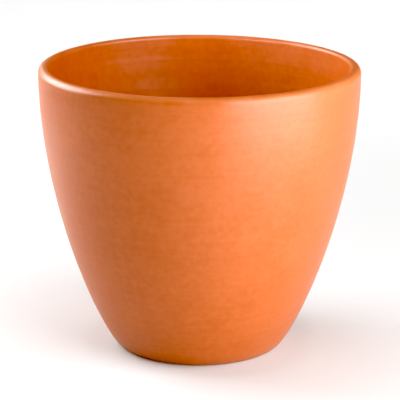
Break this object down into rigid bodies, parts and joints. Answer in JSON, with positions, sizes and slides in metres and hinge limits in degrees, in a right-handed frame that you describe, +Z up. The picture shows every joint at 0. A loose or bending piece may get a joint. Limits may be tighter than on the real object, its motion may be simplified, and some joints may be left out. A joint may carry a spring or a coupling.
{
  "type": "plant pot",
  "caption": "Egg-shaped terracotta plant pot with a plain rounded rim, narrow flat foot and a central drain hole.",
  "frame": {"origin": "on the pot's axis, in the plane that the foot stands on", "axes": "+Z up, along the axis out of the mouth; X and Y are alike, because the pot is turned"},
  "size_m": [0.2, 0.2, 0.18],
  "materials": {
    "terracotta": "matte"
  },
  "bodies": {
    "root": {"pot": "terracotta"}
  },
  "joints": []
}
